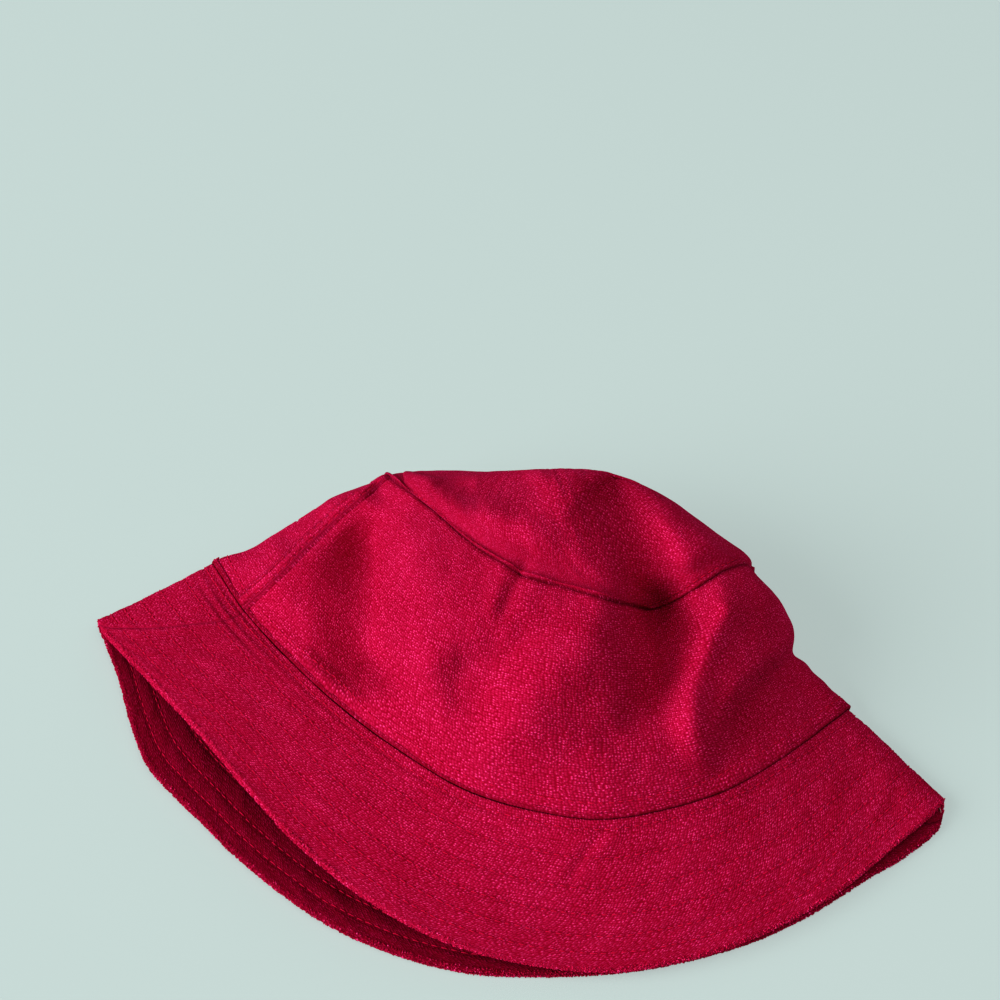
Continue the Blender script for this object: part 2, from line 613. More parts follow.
def end_faces(idx, m):
    """Closes the two open ends of a slab whose rows run over the top and back underneath."""
    last = len(idx)
    under = 2 * m + 2       # row of the first lower line
    ends = []
    for j, reverse in ((0, False), (idx.shape[1] - 1, True)):
        col = idx[:, j]
        faces = [(col[i], col[i + 1], col[under - i - 1], col[under - i]) for i in range(m - 1)]
        faces += [(col[m - 1], col[m], col[m + 2], col[m + 3]),
                  (col[0], col[under], col[last - 3], col[last - 1]),
                  (col[m], col[m + 1], col[m + 2]),
                  (col[last - 3], col[last - 2], col[last - 1])]
        ends += [f[::-1] if reverse else f for f in faces]
    return ends


def slab(name, surface, high, low, rows, cols, mat, wrap=False, flip=False, cap=0.5,
         first_cap=None, pole=False, press=None):
    """Closed cloth panel between two offsets of a surface, its borders rounded.

    rows and cols pick the grid lines. cap and first_cap round the last and first row. pole
    closes the last row with a fan on each face.
    """
    rows = np.asarray(rows)
    cols = np.asarray(cols) % COLS

    def pick(field):
        return field[np.ix_(rows, cols)]
    mid, norms = pick(surface.points), pick(surface.normals)
    top = mid + norms * pick(high)[..., None]
    bottom = mid + norms * pick(low)[..., None]
    m, n = mid.shape[:2]

    def cap_rows(i, inner, roundness):
        outward = unit(mid[i] - mid[inner])
        centre = (top[i] + bottom[i]) / 2
        half = (top[i] - bottom[i]) / 2
        bulge = np.linalg.norm(half, axis=-1, keepdims=True) * roundness
        return [centre + half * math.cos(math.pi * a) + outward * bulge * math.sin(math.pi * a)
                for a in (0.25, 0.5, 0.75)]
    end = cap_rows(m - 1, m - 2, cap)
    start = cap_rows(0, 1, cap if first_cap is None else first_cap)
    points = np.stack(list(top) + end + list(bottom[::-1]) + start[::-1], 0)
    source = list(range(m)) + [m - 1] * 3 + list(range(m - 1, -1, -1)) + [0] * 3
    uv = pick(surface.uv)[source].reshape(-1, 2)
    follow = pick(surface.follow)[source].reshape(-1)

    idx = np.arange(len(points) * n).reshape(-1, n)
    after = np.roll(idx, -1, 0)
    quads = np.stack([idx, np.roll(idx, -1, 1), np.roll(after, -1, 1), after], -1)
    if not wrap:
        quads = quads[:, :-1]
    if pole:
        quads = np.delete(quads, np.arange(m - 1, m + 3), axis=0)
    faces = [tuple(f) for f in quads.reshape(-1, 4).tolist()]
    points = points.reshape(-1, 3)
    if pole:
        above, below = idx[m - 1], idx[m + 3]
        hub = len(points)
        points = np.vstack([points, points[above].mean(0), points[below].mean(0)])
        uv = np.vstack([uv, uv[above].mean(0), uv[below].mean(0)])
        follow = np.append(follow, [follow[above].mean(), follow[below].mean()])
        faces += [(above[i], above[(i + 1) % n], hub) for i in range(n)]
        faces += [(below[(i + 1) % n], below[i], hub + 1) for i in range(n)]
    if not wrap:
        faces += end_faces(idx, m)
    if flip:
        faces = [f[::-1] for f in faces]
    me = new_mesh(name, points, faces)
    if press is not None:
        values = pick(press)[source].reshape(-1)
        values = np.append(values, np.zeros(len(points) - len(values)))
        attribute = me.attributes.new("press", "FLOAT", "POINT")
        attribute.data.foreach_set("value", np.clip(values, 0, 1).astype(np.float32))
    set_uv(me, uv)
    me.update()
    if pole:
        keep = np.zeros(len(points), bool)
        keep[np.unique([i for f in faces for i in f])] = True
        drop_loose(me, keep)
        follow = follow[keep]
    return place(me, mat)


# ------------------------------------------------------------------ materials
def new_material(name):
    mat = bpy.data.materials.new(name)
    mat.use_nodes = True
    tree = mat.node_tree
    tree.nodes.clear()
    out = tree.nodes.new("ShaderNodeOutputMaterial")
    bsdf = tree.nodes.new("ShaderNodeBsdfPrincipled")
    tree.links.new(bsdf.outputs[0], out.inputs[0])
    return mat, tree, bsdf


def feed(tree, node, inputs):
    """Sets each input to a value, or links it when given a socket."""
    for key, value in inputs.items():
        if isinstance(value, bpy.types.NodeSocket):
            tree.links.new(value, node.inputs[key])
        else:
            node.inputs[key].default_value = value


def add(tree, kind, inputs=None, **settings):
    node = tree.nodes.new("ShaderNode" + kind)
    for key, value in settings.items():
        setattr(node, key, value)
    feed(tree, node, inputs or {})
    return node


def multiply_add(tree, value, factor, addend):
    return add(tree, "Math", {0: value, 1: factor, 2: addend},
               operation="MULTIPLY_ADD").outputs[0]


def ramp(tree, fac, stops):
    """Colour ramp through (position, rgb) stops."""
    node = add(tree, "ValToRGB", {0: fac})
    elements = node.color_ramp.elements
    while len(elements) > 1:
        elements.remove(elements[-1])
    elements[0].position, elements[0].color = stops[0][0], (*stops[0][1], 1)
    for position, rgb in stops[1:]:
        elements.new(position).color = (*rgb, 1)
    return node.outputs[0]


def bump(tree, height, strength, distance):
    """Bump normal; distance is in metres."""
    return add(tree, "Bump", {"Strength": strength, "Distance": distance,
                              "Height": height}).outputs[0]


def terry(name, low, mid, top, loop=1.02, angle=0.0):
    """Looped towelling: rows of small loops, the tip of each lighter than the ground between.

    loop is the pitch along a row, angle turns the rows (radians).
    """
    row_pitch = 0.86
    mat, tree, bsdf = new_material(name)
    uv = add(tree, "UVMap", uv_map="cloth").outputs[0]
    grid = add(tree, "Mapping", {"Rotation": (0, 0, angle), "Vector": uv,
                                 "Scale": (1000.0 / loop, 1000.0 / row_pitch, 1.0)}).outputs[0]
    # wander of the rows
    wander = add(tree, "TexNoise", {"Scale": 0.16, "Detail": 3.0, "Vector": grid},
                 noise_dimensions="2D")
    centred = add(tree, "VectorMath", {0: wander.outputs["Color"], 1: (0.5, 0.5, 0.5)},
                  operation="SUBTRACT")
    scaled = add(tree, "VectorMath", {0: centred.outputs[0], "Scale": 1.6}, operation="SCALE")
    moved = add(tree, "VectorMath", {0: grid, 1: scaled.outputs[0]}, operation="ADD")
    cells = add(tree, "TexVoronoi",
                {"Scale": 1.0, "Randomness": 0.55, "Vector": moved.outputs[0]},
                voronoi_dimensions="2D", feature="F1")
    loop_tip = add(tree, "MapRange",
                   {"From Min": 0.05, "From Max": 0.62, "To Min": 1.0, "To Max": 0.0,
                    "Value": cells.outputs["Distance"]}, interpolation_type="SMOOTHSTEP")
    # some loops stand up more than others
    cell_value = add(tree, "SeparateColor", {0: cells.outputs["Color"]})
    stand = multiply_add(tree, cell_value.outputs[0], 0.75, 0.35)
    loops = add(tree, "Math", {0: loop_tip.outputs[0], 1: stand}, operation="MULTIPLY")
    # yarn detail and broad brushing of the pile
    yarn = add(tree, "TexNoise",
               {"Scale": 2.6, "Detail": 3.0, "Roughness": 0.6, "Vector": grid},
               noise_dimensions="2D")
    brushing = add(tree, "TexNoise",
                   {"Scale": 0.05, "Detail": 4.0, "Roughness": 0.55, "Vector": grid},
                   noise_dimensions="2D")
    height = multiply_add(tree, yarn.outputs["Fac"], 0.30, loops.outputs[0])
    shade = multiply_add(tree, brushing.outputs["Fac"], 0.28, height)
    level = add(tree, "MapRange", {"From Min": 0.20, "From Max": 1.35, "Value": shade})
    colour = ramp(tree, level.outputs[0], [(0.0, low), (0.38, mid), (0.62, mid), (1.0, top)])
    # pile pressed flat along the stitched seams shows its darker ground
    press = add(tree, "Attribute", attribute_name="press")
    pressed = add(tree, "Mix", {0: press.outputs["Fac"], 6: colour, 7: (0.40, 0.30, 0.34, 1)},
                  data_type="RGBA", blend_type="MULTIPLY")
    feed(tree, bsdf, {
        "Base Color": pressed.outputs[2],
        "Normal": bump(tree, height, strength=0.5, distance=0.00045),
        "Roughness": 1.0,
        "Specular IOR Level": 0.02,
        "Sheen Weight": 0.10,
        "Sheen Roughness": 0.5,
        "Sheen Tint": (1.0, 0.06, 0.30, 1)})
    return mat


def plain_cloth(name, dark, light, pitch, rough=0.85, sheen=0.05, relief=0.4):
    """Fine woven cloth or tape: crossed threads at the given pitch."""
    mat, tree, bsdf = new_material(name)
    uv = add(tree, "UVMap", uv_map="cloth").outputs[0]
    grid = add(tree, "Mapping",
               {"Scale": (1000.0 / pitch, 1000.0 / pitch, 1.0), "Vector": uv}).outputs[0]
    warp, weft = [
        add(tree, "TexWave", {"Scale": 0.314, "Distortion": 0.4, "Vector": grid},
            wave_type="BANDS", bands_direction=axis).outputs["Fac"] for axis in "XY"]
    weave = add(tree, "Math", {0: warp, 1: weft}, operation="MULTIPLY").outputs[0]
    mottle = add(tree, "TexNoise", {"Scale": 0.2, "Detail": 4, "Vector": grid},
                 noise_dimensions="2D")
    shade = multiply_add(tree, mottle.outputs["Fac"], 0.5, weave)
    feed(tree, bsdf, {
        "Base Color": ramp(tree, shade, [(0.2, dark), (0.85, light)]),
        "Normal": bump(tree, weave, strength=relief, distance=0.0003),
        "Roughness": rough,
        "Sheen Weight": sheen})
    return mat


def thread_material(name, dark, light):
    """Twisted sewing thread: fine diagonal ply lines in object space."""
    mat, tree, bsdf = new_material(name)
    place_at = add(tree, "TexCoord").outputs["Object"]
    ply = add(tree, "TexWave", {"Scale": 1100.0, "Distortion": 2.0, "Vector": place_at},
              wave_type="BANDS", bands_direction="DIAGONAL").outputs["Fac"]
    fuzz = add(tree, "TexNoise", {"Scale": 900.0, "Vector": place_at})
    shade = multiply_add(tree, fuzz.outputs["Fac"], 0.5, ply)
    feed(tree, bsdf, {
        "Base Color": ramp(tree, shade, [(0.2, dark), (0.9, light)]),
        "Normal": bump(tree, ply, strength=0.3, distance=0.0001),
        "Roughness": 0.8,
        "Specular IOR Level": 0.1})
    return mat


OUTER = dict(low=(0.26, 0.0018, 0.020), mid=(0.45, 0.0118, 0.074), top=(0.92, 0.080, 0.30))
WHITE_LIGHT = (0.88, 0.87, 0.85)
OUTER_MAT = terry("terry_outer", **OUTER)
BIAS_MAT = terry("terry_outer_bias", angle=0.72, loop=1.25, **OUTER)
TIP_MAT = terry("terry_outer_tip", angle=0.25, **OUTER)
PILE_MAT = terry("terry_pile", low=(0.34, 0.004, 0.036), mid=(0.62, 0.020, 0.11),
                 top=(1.0, 0.10, 0.36))
INNER_MAT = terry("terry_inner", low=(0.14, 0.0008, 0.011), mid=(0.24, 0.0035, 0.034),
                  top=(0.46, 0.022, 0.105))
INTERLINING_MAT = plain_cloth("interlining_white", dark=(0.70, 0.69, 0.66),
                              light=WHITE_LIGHT, pitch=0.5, sheen=0.2)
BAND_MAT = plain_cloth("sweatband_cotton", dark=(0.30, 0.003, 0.03),
                       light=(0.48, 0.008, 0.06), pitch=0.7)
TAPE_MAT = plain_cloth("cotton_tape", dark=(0.33, 0.004, 0.035),
                       light=(0.50, 0.008, 0.065), pitch=0.9)
LABEL_MAT = plain_cloth("satin_label", dark=(0.72, 0.71, 0.69), light=WHITE_LIGHT,
                        pitch=0.25, rough=0.45, sheen=0.5, relief=0.15)
THREAD_MAT = thread_material("sewing_thread", dark=(0.34, 0.002, 0.028),
                             light=(0.62, 0.010, 0.080))
GREY_MAT = thread_material("loose_thread_grey", dark=(0.36, 0.16, 0.17),
                           light=(0.62, 0.42, 0.42))

# ------------------------------------------------------------------ brim panels
FRONT = np.arange(0, HALF + 1)
BACK = np.arange(HALF, COLS + 1)
HALVES = (("front", FRONT), ("back", BACK))
STITCH_ROWS = [0.09, 0.245, 0.42, 0.57, 0.71, 0.835]      # shares of the brim width
EDGE_R = 1.75               # rounding of the brim edge
CLOTH_T = 1.62              # brim cloth face above the mid surface
CORE_T = 0.24               # its inner face
SIDE_RIDGE_AT = 2.4         # ridges either side of a brim side seam


def brim_profile():
    """Roundness at the edge, grooves under the stitch rows and padding between them."""
    from_edge = BRIM_W - brim_x
    arch = np.sqrt(np.clip(1 - (1 - from_edge / EDGE_R) ** 2, 0, 1))
    roll = np.where(from_edge < EDGE_R, arch, 1.0)
    groove = sum(bell(brim_x - share * BRIM_W, 0.85) for share in STITCH_ROWS)
    puff = np.zeros_like(brim_x)
    stops = np.array([0.0] + STITCH_ROWS + [1.0]) * BRIM_W
    for start, end in zip(stops[:-1], stops[1:]):
        t = np.clip((brim_x - start) / (end - start), 0, 1)
        within = (brim_x >= start) & (brim_x <= end)
        puff = np.maximum(puff, np.where(within, np.sin(math.pi * t) ** 0.7, 0))
    return roll, groove, puff


roll, groove, puff = brim_profile()
n_brim = len(brim_rows)
brim_seam_l, brim_seam_r = seam_dist(brim, 0.0), seam_dist(brim, 0.5)
side_shape = (-0.16 * bell(brim_seam_l, 0.8) - 0.55 * bell(brim_seam_r, 0.8)
              + 0.15 * bell(np.abs(brim_seam_l) - SIDE_RIDGE_AT, 1.5)
              + 0.35 * bell(np.abs(brim_seam_r) - SIDE_RIDGE_AT, 1.5))
# three short puckers across the left seam
pucker = (sum(bell(brim_x - x, 0.55) for x in (4.2, 8.0, 11.8))[:, None]
          * bell(brim_seam_l, 26.0))
# fine crease and ridge on the front brim
brim_crease = (brim_share > 0) * (
    crease(brim, [(46.4, -127.2), (40, -134.4), (34.4, -140.8), (29.6, -148.8),
                  (26.4, -157.6)], height=-0.55, left=1.6, right=1.6, taper=0.4)
    + crease(brim, [(50.4, -128), (43.2, -136.8), (37.6, -144.8)],
             height=0.35, left=2.4, right=2.4, taper=0.4))
base_dip = (1.20 * (1 - smoothstep((brim_x - 1.90) / 0.75))
            + 0.32 * bell(brim_x - 6.4, 0.7) + 0.22 * bell(brim_x - 10.2, 0.7))
brim_lumps = lumps(n_brim, 2.6, 2.6, seed=11) * 0.09 + lumps(n_brim, 10, 8, seed=12) * 0.12
top_high = ((CLOTH_T + 0.08 * puff - 0.12 * groove - base_dip)[:, None] + brim_lumps
            + brim_crease + side_shape - 0.50 * pucker) * roll[:, None] + 0.03
top_low = np.minimum(CORE_T, top_high - 0.02)
under_low = -(((CLOTH_T + 0.14 * puff - 0.40 * groove)[:, None]
               + lumps(n_brim, 2.6, 2.6, seed=13) * 0.09 + side_shape) * roll[:, None] + 0.03)
brim_press = (0.85 * (1 - smoothstep((brim_x - 2.2) / 1.0))[:, None] + 0.75 * pucker
              + (0.22 * groove)[:, None])

for (half, cols), mat in zip(HALVES, (OUTER_MAT, BIAS_MAT)):
    stand_in(slab(f"brim_{half}_top_cloth", BRIM, top_high, top_low, np.arange(n_brim), cols,
                  mat, flip=True, cap=0.02, first_cap=0.4, press=brim_press),
             f"brim_{half}_top")
for half, cols in HALVES:
    stand_in(slab(f"brim_{half}_under_cloth", BRIM, -top_low, under_low, np.arange(n_brim),
                  cols, INNER_MAT, flip=True, cap=0.02, first_cap=0.4),
             f"brim_{half}_under")
core = np.full(brim.shape[:2], 0.2)     # half thickness of the interlining
for half, cols in HALVES:
    stand_in(slab(f"brim_{half}_interlining_sheet", BRIM, core, -core,
                  np.arange(14, n_brim - 13, 4), cols[3:-3:3], INTERLINING_MAT, flip=True),
             f"brim_{half}_interlining")

# ------------------------------------------------------------------ crown panels
BASE_STITCH = 3.9           # base topstitch from the base seam
FELL_STITCHES = (1.7, 6.0)  # felled seam stitch lines from the side seam
n_crown = len(crown_rows)


def fell_marks(dist, edge):
    """Both stitch lines of a felled seam, weighted edge marks beside the seam."""
    stitched = sum(bell(dist + x, 0.65) for x in FELL_STITCHES)
    return stitched, edge * bell(dist - 0.5, 0.6)


def felled(dist):
    """Felled seam: a raised band on the negative side of the seam with two stitch grooves."""
    raised = smoothstep((dist + 7.6) / 1.4) * (1 - smoothstep((dist + 0.2) / 0.9))
    stitched, beside = fell_marks(dist, 0.40)
    return 1.10 * raised - 0.65 * stitched - beside


def felled_press(dist):
    stitched, beside = fell_marks(dist, 0.8)
    return 0.9 * stitched + beside + 0.5 * bell(dist + 8.0, 0.7)


crown_seam_l, crown_seam_r = seam_dist(crown, 0.0), seam_dist(crown, 0.5)
rim_dip = bell(CROWN_W - crown_x, 1.1)
crown_lumps = lumps(n_crown, 2.6, 2.6, seed=21) * 0.09 + lumps(n_crown, 9, 8, seed=22) * 0.12
crown_high = (0.70 + (1.60 * (1 - smoothstep(crown_x / 24.0))
                      - 0.20 * bell(crown_x - BASE_STITCH, 0.7) - 0.40 * rim_dip)[:, None]
              + felled(crown_seam_l) + 0.5 * felled(-crown_seam_r) + crown_lumps)
crown_low = -0.70 + 0.3 * lumps(n_crown, 3, 3, seed=23) * 0.12
crown_press = (0.8 * felled_press(crown_seam_l) + 0.2 * felled_press(-crown_seam_r)
               + (0.75 * rim_dip)[:, None])


def rows_at(field, x, reach):
    r = np.interp(x, reach, np.arange(len(reach)))
    i = np.minimum(r.astype(int), len(reach) - 2)
    f = (r - i).reshape((-1,) + (1,) * (field.ndim - 1))
    return field[i] * (1 - f) + field[i + 1] * f


# the crown's lower edge hangs over the brim as a rounded lip with an air gap beneath it
LIP_X = np.array([1.90, 1.50, 1.10, 0.70, 0.30])      # lip rows out from the base seam
LIP_RISE = 1.90
LIP_HALF_T = 0.62
n_lip = len(LIP_X)
outness = (LIP_X / LIP_X[0])[:, None, None]
brim_up = unit(rows_at(BRIM.normals, LIP_X, brim_x))
lip_points = rows_at(brim, LIP_X, brim_x) + brim_up * LIP_RISE
lip_normals = unit(brim_up * (0.35 + 0.65 * outness)
                   + CROWN.normals[0][None] * (0.65 - 0.65 * outness))
lip_ones = np.ones(lip_points.shape[:2])
lip_uv = CROWN.uv[0][None] - np.stack([0 * lip_ones, LIP_X[:, None] * lip_ones * MM], -1)
LIPPED = Surface(np.concatenate([lip_points, crown]),
                 np.concatenate([lip_normals, CROWN.normals]),
                 np.concatenate([np.repeat(CROWN.follow[:1], n_lip, 0), CROWN.follow]),
                 np.concatenate([lip_uv, CROWN.uv]))
lipped_high = np.concatenate([LIP_HALF_T * lip_ones + crown_lumps[:n_lip] * 0.6, crown_high])
lipped_low = np.concatenate([-LIP_HALF_T * lip_ones, crown_low])
lipped_press = np.concatenate([0.45 * lip_ones * np.linspace(1, 0, n_lip)[:, None],
                               crown_press])
for half, cols in HALVES:
    stand_in(slab(f"crown_{half}_panel_cloth", LIPPED, lipped_high, lipped_low,
                  np.arange(n_lip + n_crown), cols, OUTER_MAT, first_cap=0.7,
                  press=lipped_press),
             f"crown_{half}_panel")

# ------------------------------------------------------------------ tip panel
# rope-like ridge just inside its seam with one stitch groove
TIP_STITCH = 4.6            # topstitch from the tip seam
n_tip = len(tip_radius)
ridge = (1.40 * bell(tip_x - 2.3, 1.4) - 0.60 * bell(tip_x - TIP_STITCH, 0.6)
         + 0.25 * bell(tip_x - 6.0, 1.0))
tip_high = (0.62 + ridge[:, None]
            + lumps(n_tip, 3.0, 2.4, seed=31) * (0.09 * np.clip(tip_radius * 3, 0, 1))[:, None]
            + lumps(n_tip, 12, 6, seed=32) * (0.12 * np.clip(tip_radius * 2, 0, 1))[:, None])
tip_press = ((0.80 * bell(tip_x, 0.9) + 0.70 * bell(tip_x - TIP_STITCH, 0.65))[:, None]
             * np.ones_like(tip_high))
EVERY_OTHER = np.arange(0, COLS, 2)
stand_in(slab("crown_tip_cloth", TIP, tip_high, np.full(tip_high.shape, -0.70),
              np.arange(n_tip - 1), EVERY_OTHER, TIP_MAT, wrap=True, cap=0.0, first_cap=0.5,
              pole=True, press=tip_press),
         "crown_tip")

# ------------------------------------------------------------------ sewing
STITCH_R = 0.21
STITCH_LEN = 2.7
STITCH_GAP = 0.55
STITCH_SINK = 0.42          # how far the ends dive into the cloth
STITCH_SIDES = 6
STITCH_RINGS = 6


def at(field, r, c):
    """Bilinear read of a rows x columns field at fractional rows and columns (columns wrap)."""
    r = np.clip(np.asarray(r, float), 0, field.shape[0] - 1.0001)
    c = np.asarray(c, float) % COLS
    i = np.floor(r).astype(int)
    j = np.floor(c).astype(int)
    fr, fc = r - i, c - j
    if field.ndim == 3:
        fr, fc = fr[:, None], fc[:, None]
    j1 = (j + 1) % COLS
    return ((field[i, j] * (1 - fr) + field[i + 1, j] * fr) * (1 - fc)
            + (field[i, j1] * (1 - fr) + field[i + 1, j1] * fr) * fc)


def row_of(x, reach):
    return np.interp(x, reach, np.arange(len(reach)))


def near_row(x, reach):
    return int(round(row_of(x, reach)))


def path_on(surface, offset, r, c):
    """Points, normals and follow shares of a path laid on an offset surface."""
    norms = unit(at(surface.normals, r, c))
    points = at(surface.points, r, c) + norms * at(offset, r, c)[:, None]
    return points, norms, at(surface.follow, r, c)


def round_path(surface, offset, x, c0, c1):
    """Path round the hat at distance x from the surface's first row."""
    c = np.arange(c0, c1, 0.5)
    return path_on(surface, offset, np.full(len(c), row_of(x, surface.reach)), c)


def underside(path):
    return path[0], -path[1], path[2]


def seam_path(dist, seam):
    """Path up the crown at a signed distance from the side seam at share `seam`."""
    r = np.linspace(row_of(6.5, crown_x), len(crown_x) - 4, 240)
    around = np.interp(r, np.arange(len(crown)), ring_len(crown))
    return path_on(CROWN, crown_high + 0.02, r, (seam + dist / around) * COLS)


def ring_quads(idx):
    """Quads of tubes whose rings are the second last axis."""
    near, far = idx[..., :-1, :], idx[..., 1:, :]
    quads = [near, np.roll(near, -1, -1), np.roll(far, -1, -1), far]
    return np.stack(quads, -1).reshape(-1, 4).tolist()


def stitches(name, paths, seed, piece=None):
    """Lock stitches: each is a short closed thread that dives into the cloth at both ends."""
    rs = np.random.RandomState(seed)
    points, faces, follows = [], [], []
    base = 0
    turn = np.arange(STITCH_SIDES) / STITCH_SIDES * 2 * math.pi
    t = np.linspace(0, 1, STITCH_RINGS)
    arch = np.sin(math.pi * t)
    lift = (arch ** 0.55 - 0.55)[None, :, None] * STITCH_SINK
    radius = (STITCH_R * (0.35 + 0.65 * arch ** 0.5))[None, :, None, None]
    pitch = STITCH_LEN + STITCH_GAP
    for line, line_normals, line_follow in paths:
        reach = arc(line)
        n = int(reach[-1] / pitch)
        if n < 1:
            continue
        start = (np.arange(n) + 0.1) * (reach[-1] / n)
        length = (reach[-1] / n) * (STITCH_LEN / pitch) * (1 + 0.06 * rs.standard_normal(n))
        q = np.clip(start[:, None] + length[:, None] * t[None], 0, reach[-1])
        pos = lerp_points(q, reach, line)
        up = unit(lerp_points(q, reach, line_normals))
        side = unit(np.cross(unit(np.gradient(pos, axis=1)), up))
        centre = pos + up * lift + side * (0.07 * rs.standard_normal((n, 1, 1)))
        ring = centre[:, :, None, :] + radius * (
            np.cos(turn)[None, None, :, None] * side[:, :, None, :]
            + np.sin(turn)[None, None, :, None] * up[:, :, None, :])
        points.append(ring.reshape(-1, 3))
        follows.append(np.repeat(np.interp(q, reach, line_follow).ravel(), STITCH_SIDES))
        idx = np.arange(n * STITCH_RINGS * STITCH_SIDES) + base
        idx = idx.reshape(n, STITCH_RINGS, STITCH_SIDES)
        faces += ring_quads(idx) + idx[:, 0, ::-1].tolist() + idx[:, -1, :].tolist()
        base += idx.size
    ob = mesh_piece(name + "_stitches", np.vstack(points), [f[::-1] for f in faces],
                    THREAD_MAT)
    stand_in(ob, (piece or name) + "_stitching")


STITCH_SPANS = (("front", 3, HALF - 3), ("back", HALF + 3, COLS - 3))
for seed, (half, c0, c1) in enumerate(STITCH_SPANS, 41):
    rows = [round_path(BRIM, top_high + 0.02, s * BRIM_W, c0, c1) for s in STITCH_ROWS]
    rows += [underside(round_path(BRIM, under_low - 0.02, s * BRIM_W, c0, c1))
             for s in STITCH_ROWS]
    stitches(f"brim_{half}_row", rows, seed)
for seed, (half, c0, c1) in enumerate(STITCH_SPANS, 43):
    stitches(f"crown_{half}_base",
             [round_path(CROWN, crown_high + 0.02, BASE_STITCH, c0, c1)], seed)
stitches("tip_seam", [round_path(TIP, tip_high + 0.02, TIP_STITCH, 0, COLS)], 45, piece="tip")
stitches("left_side_seam", [seam_path(-x, 0.0) for x in FELL_STITCHES], 46)
stitches("right_side_seam", [seam_path(x, 0.5) for x in FELL_STITCHES], 47)

# ------------------------------------------------------------------ inside of the hat
BAND_TOP = 30.0             # sweatband's upper edge from the base seam
BAND_STITCH = 3.0
TAPE_FACES = (-0.85, -1.30)     # offsets of the side tapes inside the crown


def sweatband():
    dip = bell(crown_x - BAND_STITCH, 0.8)[:, None]
    outer = -0.95 - 0.25 * dip + np.zeros(crown.shape[:2])
    inner = -1.90 + 0.16 * lumps(n_crown, 5, 3, seed=51) + 0.30 * dip
    rows = np.arange(near_row(1.2, crown_x), near_row(BAND_TOP, crown_x) + 1)
    stand_in(slab("sweatband_ribbon", CROWN, outer, inner, rows, EVERY_OTHER, BAND_MAT,
                  wrap=True), "sweatband")
    stitches("sweatband",
             [underside(round_path(CROWN, inner - 0.10, BAND_STITCH, 0, COLS))], 48)


def tip_seam_tape():
    """Tape over the tip seam, reaching as far down the crown as the stitches on the tip."""
    last = int(row_of(TIP_STITCH, tip_x)) + 2
    first = near_row(CROWN_W - TIP_STITCH, crown_x)

    def join(lower, upper):
        return np.concatenate([lower[first:], upper[1:last]], 0)
    points = join(crown, tip)
    uv = grid_uv(len(points), join(crown_x, crown_x[-1] + tip_x), rim_len)
    tape = Surface(points, unit(blur(join(CROWN.normals, TIP.normals), 3, 2.5)),
                   join(CROWN.follow, TIP.follow), uv)
    ones = np.ones(points.shape[:2])
    stand_in(slab("tip_seam_tape_ribbon", tape, -0.95 * ones, -1.40 * ones,
                  np.arange(len(points)), EVERY_OTHER, TAPE_MAT, wrap=True),
             "tip_seam_tape")


def side_seam_tape(side, column):
    rows = np.arange(near_row(31.5, crown_x), near_row(CROWN_W - 6.0, crown_x) + 1)
    outer, inner = [np.full(crown.shape[:2], face) for face in TAPE_FACES]
    stand_in(slab(f"{side}_side_seam_tape_ribbon", CROWN, outer, inner, rows,
                  np.arange(column - 6, column + 7), TAPE_MAT),
             f"{side}_side_seam_tape")


def care_label():
    """Blank label on the back panel, its lower end under the sweatband."""
    rows, cols = 40, 26
    back_row = crown[int(row_of(BAND_TOP, crown_x)), HALF:]
    off_target = np.linalg.norm(back_row[:, :2] - np.array([30.0, 0.0]), axis=1)
    middle = HALF + int(np.argmin(off_target + 100 * (back_row[:, 2] > 8)))
    r, c = np.meshgrid(row_of(np.linspace(26, 56, rows), crown_x),
                       np.linspace(middle - 14, middle + 14, cols), indexing="ij")
    t = np.clip((r - r[0, 0]) / (r[-1, 0] - r[0, 0]), 0, 1).ravel()
    r, c = r.ravel(), c.ravel()
    norms = unit(at(CROWN.normals, r, c))
    hang = 2.15 + 2.2 * t ** 2 + 0.25 * np.sin(5 * t) * t
    mid = at(crown, r, c) - norms * hang[:, None]
    half_t = norms * 0.14
    idx = np.arange(rows * cols).reshape(rows, cols)
    other = rows * cols
    face = np.stack([idx[:-1, :-1], idx[:-1, 1:], idx[1:, 1:], idx[1:, :-1]], -1)
    face = face.reshape(-1, 4).tolist()
    back = [[i + other for i in f[::-1]] for f in face]
    loop = np.concatenate([idx[0], idx[1:, -1], idx[-1, -2::-1], idx[-2::-1, 0]])
    rim = [(b, a, a + other, b + other) for a, b in zip(loop[:-1], loop[1:])]
    uv = np.stack([c * 0.0007, r * 0.00075], -1)
    ob = mesh_piece("care_label_blank", np.vstack([mid - half_t, mid + half_t]),
                    face + back + rim, LABEL_MAT, body="back_half", uv=np.vstack([uv, uv]))
    stand_in(ob, "care_label")


sweatband()
tip_seam_tape()
side_seam_tape("left", 0)
side_seam_tape("right", HALF)
care_label()


# ------------------------------------------------------------------ loose ends
def tube(name, points, radius, mat, sides=8, per=10):
    """Thread through the points, riding on the back half."""
    line = dense_spline(points, per)[:per * (len(points) - 1) + 1]
    along = unit(np.gradient(line, axis=0))
    across = unit(np.cross(along, np.array([0.3, 0.2, 0.93])))
    other = np.cross(along, across)
    turn = (np.arange(sides) / sides * 2 * math.pi)[None, :, None]
    ring = line[:, None] + radius * (np.cos(turn) * across[:, None]
                                     + np.sin(turn) * other[:, None])
    idx = np.arange(len(line) * sides).reshape(-1, sides)
    faces = ring_quads(idx) + [idx[0, ::-1].tolist(), idx[-1].tolist()]
    return mesh_piece(name, ring.reshape(-1, 3), faces, mat, body="back_half")


